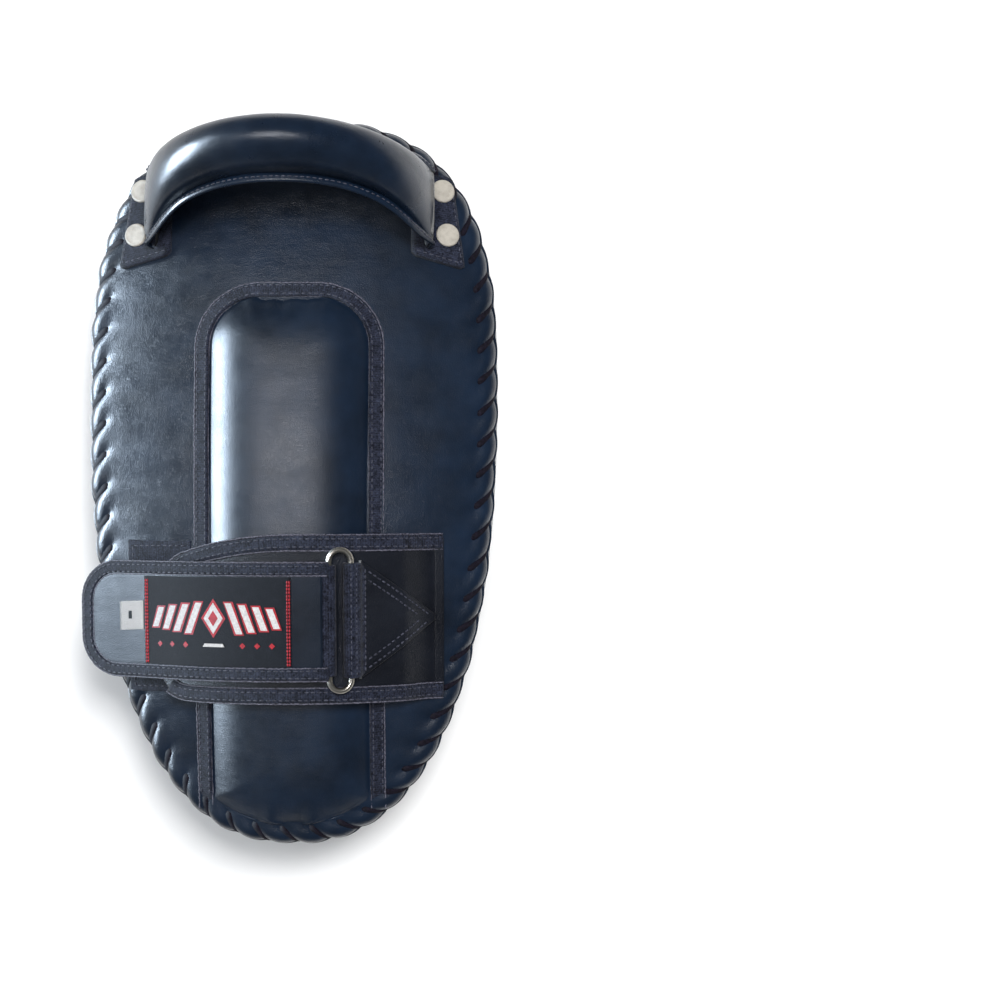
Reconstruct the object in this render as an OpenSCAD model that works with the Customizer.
// Thai pad: a curved kick pad with a padded grip handle, a forearm cushion and a
// hook-and-loop forearm strap. Millimetres. X runs across the pad, Y along it with the
// grip handle at +Y, Z up. The pad lies on its striking face, and the origin is on the
// floor at the middle of its box.

/* [Pad body] */
// Length of the pad along Y
pad_len = 373; // [330:1:420]
// Width of the pad along X
pad_w = 208; // [200:1:230]
// Y of the widest place
wide_y = 49.5; // [40:0.5:60]
// Squareness of the handle end's outline (2 is an ellipse)
squareness_top = 2.8; // [2.6:0.1:3]
// Squareness of the strap end's outline
squareness_bottom = 2.4; // [2.3:0.1:2.6]
// Thickness along the centre line
pad_t = 90; // [80:1:100]
// Radius of the striking face's lengthwise curve
face_r = 800; // [780:10:900]
// Distance from the middle at which the striking face meets the floor
land_y = 170; // [165:1:174]
// Radius of the back panel's crosswise crown
crown_r = 300; // [280:10:340]
// Leather thickness of the casing
skin = 2.5; // [2:0.1:3]
// Thickness of the front and middle foam layers
layer = 26; // [22:1:28]
// Stitches of the lace round the back edge
stitches = 60; // [40:1:72]

/* [Forearm cushion] */
// Width over the binding tape
cushion_w = 96; // [90:1:100]
// Y of the cushion's arched end
cushion_top = 101; // [90:1:104]
// Radius of the arched end's corners
cushion_corner = 33; // [25:1:40]
// Rise of the cushion above the back panel
cushion_h = 11; // [9:0.5:12]
// Radius of the cushion's crosswise crown
cushion_r = 120; // [110:5:140]
// Width of the binding tape
tape_w = 7.6; // [6:0.2:9]

/* [Grip handle] */
// Y of the handle's feet
handle_y = 139; // [136:1:142]
// Lean of the handle towards the end of the pad
handle_lean = 23; // [18:1:26]
// Half of the clear span between the handle's feet
grip_half = 70; // [68:1:71]
// Clear height under the arch
grip_rise = 46; // [42:1:50]
// Half-length of the whole roll at its feet
roll_half = 74; // [72:1:76]
// Depth of the roll at the top of its arch
roll_depth = 30; // [26:1:32]
// Width of the roll, front to back
roll_w = 34; // [30:1:36]
// How far the handle tilts towards the middle of the pad, degrees
tilt_in = 20; // [10:1:20]
// How far it tilts towards the end of the pad, degrees
tilt_out = 10; // [5:1:10]
// Lower rivet of each foot, X and Y
rivet_low = [79, 126];
// Upper rivet of each foot, X and Y
rivet_high = [76.5, 149];

/* [Forearm strap] */
// Y of the strap's centre line
strap_y = -69; // [-72:1:-66]
// Clear height between the cushion and the strap
strap_gap = 9; // [9:0.5:12]
// Radius of the strap's arch
strap_r = 110; // [100:5:120]
// Half-width at which the arch runs out straight
arch_half = 50; // [45:1:52]
// Width of the forearm flap
flap_w = 84; // [80:1:86]
// Width of the hook-and-loop closure
closure_w = 54; // [50:1:56]
// Width of the closure's free leaf
leaf_w = 58; // [56:1:58]
// X of the leaf's rounded tip
leaf_tip = -101.5; // [-104:0.5:-100]

/* [Ring] */
// Wire radius of the ring
wire_r = 1.5; // [1.4:0.1:1.6]
// Spacing of the ring's two bars
bar_gap = 11; // [11:0.1:13]
// Length of the straight bars
bar_len = 59.4; // [59.4:0.1:62]
// X of the ring's middle
ring_x = 26.5; // [26:0.5:28]
// Height of the wire's centre above the strap's underside
ring_t = 6.8; // [6.8:0.1:7]

/* [Hidden] */
$fn = 180;
outline_points = 96;

half_w = pad_w / 2;
len_top = pad_len / 2 - wide_y;
len_bottom = pad_len / 2 + wide_y;
axis_z = -sqrt(face_r * face_r - land_y * land_y);
back_r = face_r + pad_t;
crown_c = back_r - crown_r;
sweep_half = 16;
piping_t = 1.5;
wall_out = piping_t;
wall_in = wall_out + skin;
trim = 3;
cover_t = 1.8;
tape_t = 3;
foot_t = 5;
patch_t = 3;
gap = 0.4;
black = [0.05, 0.055, 0.07];
webbing_black = [0.09, 0.085, 0.1];
nickel = [0.75, 0.72, 0.65];
foam_grey = [0.35, 0.35, 0.37];

// ---- outline of the pad, seen from above ----
function powered(v, e) = sign(v) * pow(abs(v), e);
function edge_point(t, o) =
    let (up = sin(t) >= 0)
    let (e = 2 / (up ? squareness_top : squareness_bottom))
    let (b = (up ? len_top : len_bottom) - o)
    [(half_w - o) * powered(cos(t), e), wide_y + b * powered(sin(t), e)];
function outline(o) = [for (i = [0:outline_points - 1]) edge_point(360 * i / outline_points, o)];
function back_z(p) = axis_z + sqrt(pow(crown_c + sqrt(pow(crown_r, 2) - pow(p.x, 2)), 2) - pow(p.y, 2));

module prism(o, z0 = -1) {
    translate([0, 0, z0]) linear_extrude(250) polygon(outline(o));
}

// Profiles are drawn as (radius, x) and swept about the pad's lengthwise curve axis.
module sweep() {
    translate([0, 0, axis_z]) rotate([180, -90, 0]) rotate([0, 0, -sweep_half])
        rotate_extrude(angle = 2 * sweep_half, $fn = 360) children();
}
module crown_disc(t) {
    translate([crown_c, 0]) circle(crown_r + t);
}
module crown_layer(t0, t1) {
    sweep() intersection() {
        difference() {
            crown_disc(t1);
            crown_disc(t0);
        }
        translate([face_r, -half_w - 2]) square([pad_t + 60, pad_w + 4]);
    }
}
// Everything inside the outline, d above the striking face and below crown height t.
module core(o, d, t) {
    intersection() {
        prism(o, d);
        sweep() intersection() {
            crown_disc(t);
            translate([face_r + d, -half_w - 2]) square([pad_t + 60, pad_w + 4]);
        }
    }
}
// Places children on the back panel: local Z is the panel's normal at (x, y).
module on_back(x, y, t = 0) {
    ax = asin(x / crown_r);
    ay = asin(y / (crown_c + crown_r * cos(ax)));
    translate([0, 0, axis_z]) rotate([-ay, 0, 0]) translate([0, 0, crown_c]) rotate([0, ax, 0])
        translate([0, 0, crown_r + t]) children();
}

// ---- casing and filling ----
module striking_face() {
    color(black) difference() {
        core(wall_out, 0, -skin);
        core(0, skin, 0);
    }
}
module side_wall() {
    color(black) difference() {
        core(wall_out, skin, -skin);
        prism(wall_in);
    }
}
module front_piping() {
    color(black) difference() {
        core(0, 1, -skin);
        core(-1, 5, 0);
        prism(wall_out);
    }
}
module foam_front() {
    color(foam_grey) difference() {
        core(wall_in, skin, -skin);
        core(0, skin + layer, 0);
    }
}
module foam_middle() {
    color(foam_grey) difference() {
        core(wall_in, skin + layer, -skin);
        core(0, skin + 2 * layer, 0);
    }
}
module foam_rear() {
    color(foam_grey) difference() {
        core(wall_in, skin + 2 * layer, -skin);
        at_rivets() translate([0, 0, -skin - 2.8]) cylinder(r = washer_r + 0.8, h = 4);
    }
}
module back_panel() {
    color(black) difference() {
        intersection() {
            crown_layer(-skin, 0);
            prism(0);
        }
        at_rivets() rivet_hole();
    }
}

// ---- lace round the back edge: a ring of wire-like lace through the panel at each stitch ----
lace_r = 1;
loop_r = 3.4;
loop_inset = 2;
lace_phase = 0.4;
fine = [for (i = [0:240]) edge_point(360 * i / 240, loop_inset)];
steps = [for (i = [0:239]) norm(fine[i + 1] - fine[i])];
travel = [for (i = 0, s = 0; i <= 240; s = s + (i < 240 ? steps[i] : 0), i = i + 1) [s, 360 * i / 240]];
perimeter = travel[240][0];
module edge_lacing() {
    color(webbing_black) for (k = [0:stitches - 1]) {
        t = lookup(perimeter * (k + lace_phase) / stitches, travel);
        p = edge_point(t, loop_inset);
        q = edge_point(t + 0.5, loop_inset);
        translate([p.x, p.y, back_z(p) - loop_inset]) rotate([0, 0, atan2(q.y - p.y, q.x - p.x)])
            rotate([0, 90, 0]) rotate_extrude($fn = 36) translate([loop_r, 0]) circle(lace_r, $fn = 16);
    }
}

// ---- forearm cushion ----
module cushion_plan(o) {
    w = cushion_w / 2;
    c = w - cushion_corner;
    for (s = [-1, 1])
        translate([s * c, cushion_top - cushion_corner]) circle(cushion_corner - o);
    translate([o - w, -pad_len / 2]) square([2 * (w - o), pad_len / 2 + cushion_top - cushion_corner]);
    translate([-c, 0]) square([2 * c, cushion_top - o]);
}
module cushion_solid(o, inset) {
    intersection() {
        linear_extrude(200) cushion_plan(o);
        prism(trim + 6 + inset);
        sweep() difference() {
            intersection() {
                translate([back_r + cushion_h - cushion_r, 0]) circle(cushion_r - inset);
                translate([back_r - 40, -cushion_w]) square([80, 2 * cushion_w]);
            }
            crown_disc(0);
        }
    }
}
module cushion_foam() {
    color(foam_grey) cushion_solid(tape_w + cover_t, cover_t);
}
module cushion_cover() {
    color(black) difference() {
        cushion_solid(tape_w, 0);
        cushion_solid(tape_w + cover_t, cover_t);
    }
}
module cushion_binding() {
    color(webbing_black) intersection() {
        crown_layer(0, tape_t);
        prism(trim + 6);
        linear_extrude(200) difference() {
            cushion_plan(0);
            cushion_plan(tape_w);
        }
    }
}

// ---- rivets that hold the handle's feet ----
washer_r = 3.2;
tail_r = 2.8;
module at_rivets(sides = [-1, 1]) {
    for (s = sides, p = [rivet_low, rivet_high]) on_back(s * p.x, p.y) children();
}
module rivet_hole() {
    translate([0, 0, -10]) cylinder(r = 2.1, h = 30);
}
module handle_rivets() {
    color(nickel) at_rivets() {
        translate([0, 0, foot_t]) rotate_extrude() intersection() {
            translate([0, -14.6]) circle(16.8);
            square([6, 4]);
        }
        translate([0, 0, -skin - 1.4]) cylinder(r = 2, h = foot_t + skin + 1.4);
        translate([0, 0, -skin - 2.2]) cylinder(r = tail_r, h = 0.8);
    }
}
module rivet_washers() {
    color(nickel) at_rivets() translate([0, 0, -skin - 1.3]) difference() {
        cylinder(r = washer_r, h = 1.15);
        translate([0, 0, -1]) cylinder(r = 2.1, h = 4);
    }
}

// ---- grip handle: an arch of webbing with a foam roll sewn round it ----
hinge_ay = asin(handle_y / back_r);
hinge_z = axis_z + back_r * cos(hinge_ay);
hinge_clear = 19;
foot_in = 60;
foot_out = 88;
root_in = 52;
root_out = 70;
strap_core = 3;
arch_r = (grip_half * grip_half + grip_rise * grip_rise) / (2 * grip_rise);
arch_c = grip_rise - arch_r;
roll_top = grip_rise + roll_depth;
roll_c = (roll_top * roll_top - roll_half * roll_half) / (2 * roll_top);
roll_r = roll_top - roll_c;
roll_round = 9;
wedge_in = tilt_in - handle_lean + hinge_ay + 3;
wedge_out = tilt_out + handle_lean - hinge_ay + 3;

module handle_frame() {
    translate([0, handle_y, hinge_z]) rotate([-handle_lean, 0, 0]) children();
}
// Revolves a (radius, depth) profile about the handle's front-to-back axis, c above its feet.
module arch(c) {
    translate([0, 0, c]) rotate([90, 0, 0]) rotate_extrude() children();
}
// A cylinder along the handle's front-to-back axis.
module arch_bar(r, c) {
    translate([0, 0, c]) rotate([90, 0, 0]) cylinder(r = r, h = 100, center = true);
}
// The space above the feet that stays free while the handle tilts.
module tilt_space() {
    difference() {
        translate([-100, -60, -20]) cube([200, 120, 140]);
        rotate([0, 90, 0]) cylinder(r = hinge_clear, h = 220, center = true);
        translate([-110, 0, 0]) rotate([wedge_out, 0, 0]) translate([0, -80, -80]) cube([220, 160, 80]);
        translate([-110, 0, 0]) rotate([-wedge_in, 0, 0]) translate([0, -80, -80]) cube([220, 160, 80]);
    }
}
module roll_profile(inset) {
    side = roll_w / 2;
    for (w = [-1, 1]) translate([roll_r - roll_round, w * (side - roll_round)]) circle(roll_round - inset);
    translate([0, inset - side]) square([roll_r - roll_round, roll_w - 2 * inset]);
    translate([0, roll_round - side]) square([roll_r - inset, roll_w - 2 * roll_round]);
}
// The stuffed roll stands on the webbing: children are its (radius, depth) profile.
module roll_on_strap() {
    handle_frame() intersection() {
        tilt_space();
        difference() {
            arch(roll_c) children();
            arch_bar(arch_r + strap_core, arch_c);
        }
    }
}
module handle_strap() {
    color(webbing_black) handle_frame() intersection() {
        tilt_space();
        difference() {
            arch_bar(arch_r + strap_core, arch_c);
            arch_bar(arch_r, arch_c);
        }
        translate([-100, -roll_w / 2, 0]) cube([200, roll_w, 100]);
    }
}
module handle_foam() {
    color(foam_grey) roll_on_strap() roll_profile(cover_t);
}
module handle_cover() {
    color(black) difference() {
        roll_on_strap() roll_profile(0);
        handle_frame() arch(roll_c) roll_profile(cover_t);
    }
}
module handle_welt() {
    color(black) handle_frame() intersection() {
        tilt_space();
        difference() {
            arch_bar(arch_r + strap_core + 2, arch_c);
            arch_bar(arch_r + strap_core - 2, arch_c);
            translate([-100, -roll_w / 2, -50]) cube([200, roll_w, 150]);
        }
        translate([-100, -roll_w / 2 - 4.5, 0]) cube([200, roll_w + 9, 100]);
    }
}
// A riveted foot plate with the sewn root of the handle standing on it.
module handle_foot(side) {
    x0 = side > 0 ? foot_in : -foot_out;
    r0 = side > 0 ? root_in : -root_out;
    color(webbing_black) difference() {
        union() {
            intersection() {
                crown_layer(0, foot_t);
                prism(trim);
                translate([x0, handle_y - 30, 0]) cube([foot_out - foot_in, 49, 200]);
            }
            intersection() {
                crown_layer(1, 40);
                handle_frame() difference() {
                    rotate([0, 90, 0]) cylinder(r = hinge_clear - gap, h = 160, center = true);
                    arch_bar(arch_r, arch_c);
                }
                translate([r0, handle_y - 40, 0]) cube([root_out - root_in, 80, 200]);
                translate([-70, handle_y - roll_w / 2, 0]) cube([140, roll_w, 200]);
            }
        }
        at_rivets([side]) rivet_hole();
        at_rivets([side]) translate([0, 0, foot_t]) cylinder(r = 6.4, h = 30);
    }
}
module handle_foot_left() {
    handle_foot(-1);
}
module handle_foot_right() {
    handle_foot(1);
}

// ---- forearm strap: every layer follows one arched curve at its own height t ----
strap_v = back_r + cushion_h + strap_gap;
strap_c = strap_v - strap_r;
arch_angle = asin(arch_half / strap_r);
root_x = 72;
arch_steps = 7;
run_out = 80;
// The strap's curve at height t as (radius, x) points, from left to right.
function on_arch(a, t, run = 0) =
    [strap_c + (strap_r + t) * cos(a) - run * sin(abs(a)),
     (strap_r + t) * sin(a) + sign(a) * run * cos(a)];
function strap_curve(t) = concat(
    [on_arch(-arch_angle, t, run_out)],
    [for (i = [-arch_steps:arch_steps]) on_arch(arch_angle * i / arch_steps, t)],
    [on_arch(arch_angle, t, run_out)]);
function reversed(list) = [for (i = [len(list) - 1:-1:0]) list[i]];
module strap_band(t0, t1, x0, x1) {
    intersection() {
        polygon(concat(strap_curve(t0), reversed(strap_curve(t1))));
        translate([face_r - 50, x0]) square([220, x1 - x0]);
    }
}
module strap_layer(t0, t1, x0, x1) {
    intersection() {
        sweep() strap_band(t0, t1, x0, x1);
        translate([0, strap_y, 0]) linear_extrude(250) children();
    }
}
// Fills the space between the back panel and the strap, where the strap is sewn down.
module strap_root(t1, x0, x1, w) {
    intersection() {
        sweep() difference() {
            strap_band(-15, t1, x0, x1);
            crown_disc(0);
        }
        translate([-120, strap_y - w / 2, 0]) cube([240, w, 250]);
    }
}
module across(w) {
    translate([-150, -w / 2]) square([300, w]);
}
// A strip of width w whose left end has round corners of radius r.
module tongue(left, right, w, r) {
    polygon(concat(
        [for (a = [90:9:180]) [left + r + r * cos(a), w / 2 - r + r * sin(a)]],
        [for (a = [180:9:270]) [left + r + r * cos(a), r - w / 2 + r * sin(a)]],
        [[right, -w / 2], [right, w / 2]]));
}
module anchor_patch() {
    color(webbing_black) union() {
        intersection() {
            crown_layer(0, patch_t);
            prism(trim + 5);
            translate([-83, strap_y - 39, 0]) cube([34, 78, 200]);
        }
        intersection() {
            strap_root(4.8, -82, -root_x, closure_w);
            prism(trim + 5);
        }
    }
}
module flap_root() {
    color(black) strap_root(4.2, root_x, root_x + 5.5, flap_w);
}
module forearm_flap() {
    color(black) strap_layer(0, 3, -root_x, root_x - gap) tongue(-65, root_x + 5, flap_w, 30);
}
module flap_binding(s) {
    color(webbing_black) strap_layer(3, 4.2, -34, root_x - gap)
        translate([-150, s * (flap_w / 2 - 3.5) - 3.5]) square([300, 7]);
}
module flap_binding_upper() {
    flap_binding(1);
}
module flap_binding_lower() {
    flap_binding(-1);
}

// ---- ring, the webbing loop that holds it, and the strap folded through it ----
strap_ay = asin(strap_y / strap_v);
ring_ax = asin(ring_x / (strap_r + ring_t));
bar_x = ring_x - bar_gap / 2 * cos(ring_ax);
// Places children at the ring's middle: local Z is the strap's normal, local Y runs along the bars.
module at_ring(x = 0) {
    translate([0, 0, axis_z]) rotate([-strap_ay, 0, 0]) translate([0, 0, strap_c]) rotate([0, ring_ax, 0])
        translate([x, 0, strap_r + ring_t]) children();
}
module along_bar(r, w) {
    rotate([90, 0, 0]) cylinder(r = r, h = w, center = true);
}
module ring() {
    color(nickel) at_ring() {
        for (s = [-1, 1]) translate([s * bar_gap / 2, 0, 0]) along_bar(wire_r, bar_len);
        for (s = [-1, 1]) translate([0, s * bar_len / 2, 0]) rotate([0, 0, s > 0 ? 0 : 180])
            rotate_extrude(angle = 180, $fn = 72) translate([bar_gap / 2, 0]) circle(wire_r, $fn = 36);
    }
}
module ring_loop() {
    color(webbing_black) union() {
        at_ring(bar_gap / 2) difference() {
            along_bar(3.5, leaf_w + 2);
            along_bar(2, leaf_w + 4);
        }
        strap_layer(3.2, 4.6, ring_x + bar_gap / 2 - 0.7, root_x) polygon([[26, -29], [40, -29], [68, 0], [40, 29], [26, 29]]);
    }
}
module ring_patch() {
    color(black) strap_layer(4.6, 6.2, ring_x + 9.5, root_x + 2)
        polygon([[36, -30], [73, -2], [73, 2], [36, 30]]);
}
module closure_run() {
    color(webbing_black) strap_layer(3.2, 4.8, gap - root_x, bar_x - 1.8) across(closure_w);
}
module loop_pile() {
    color(webbing_black) strap_layer(4.8, 6.4, -64, bar_x - 7) across(closure_w - 4);
}
module strap_fold() {
    color(webbing_black) at_ring(-bar_gap / 2) difference() {
        along_bar(3.6, closure_w);
        along_bar(2, closure_w + 2);
        translate([-10, -50, -10]) cube([10, 100, 20]);
    }
}

// ---- free leaf of the closure ----
leaf_x1 = bar_x - 4.6;
hem = 6;
module leaf_plan(o) {
    tongue(leaf_tip + o, leaf_x1 - o, leaf_w - 2 * o, 20 - o);
}
module leaf_webbing() {
    color(webbing_black) strap_layer(8.8, 10.4, leaf_tip, leaf_x1) leaf_plan(0);
}
module leaf_facing() {
    color(black) strap_layer(10.4, 12, leaf_tip, leaf_x1) leaf_plan(hem);
}
module leaf_binding() {
    color(webbing_black) strap_layer(10.4, 12.4, leaf_tip, leaf_x1) difference() {
        leaf_plan(0);
        leaf_plan(hem);
    }
}
module hook_pile() {
    color(webbing_black) strap_layer(7, 8.8, -96, -10) tongue(-96, 0, closure_w - 6, 16);
}
module label_patch() {
    color([0.08, 0.08, 0.09]) strap_layer(12, 12.6, -65.5, 4.5) across(43.8);
}
module size_tab() {
    color([0.85, 0.85, 0.85]) strap_layer(12, 12.5, -79.5, -67.5)
        translate([0, 1.9]) across(14.5);
}

striking_face();
side_wall();
front_piping();
foam_front();
foam_middle();
foam_rear();
back_panel();
edge_lacing();
cushion_foam();
cushion_cover();
cushion_binding();
handle_foot_left();
handle_foot_right();
handle_rivets();
rivet_washers();
anchor_patch();
flap_root();
handle_strap();
handle_foam();
handle_cover();
handle_welt();
forearm_flap();
flap_binding_upper();
flap_binding_lower();
ring_patch();
ring_loop();
closure_run();
loop_pile();
ring();
strap_fold();
leaf_webbing();
leaf_facing();
leaf_binding();
hook_pile();
label_patch();
size_tab();
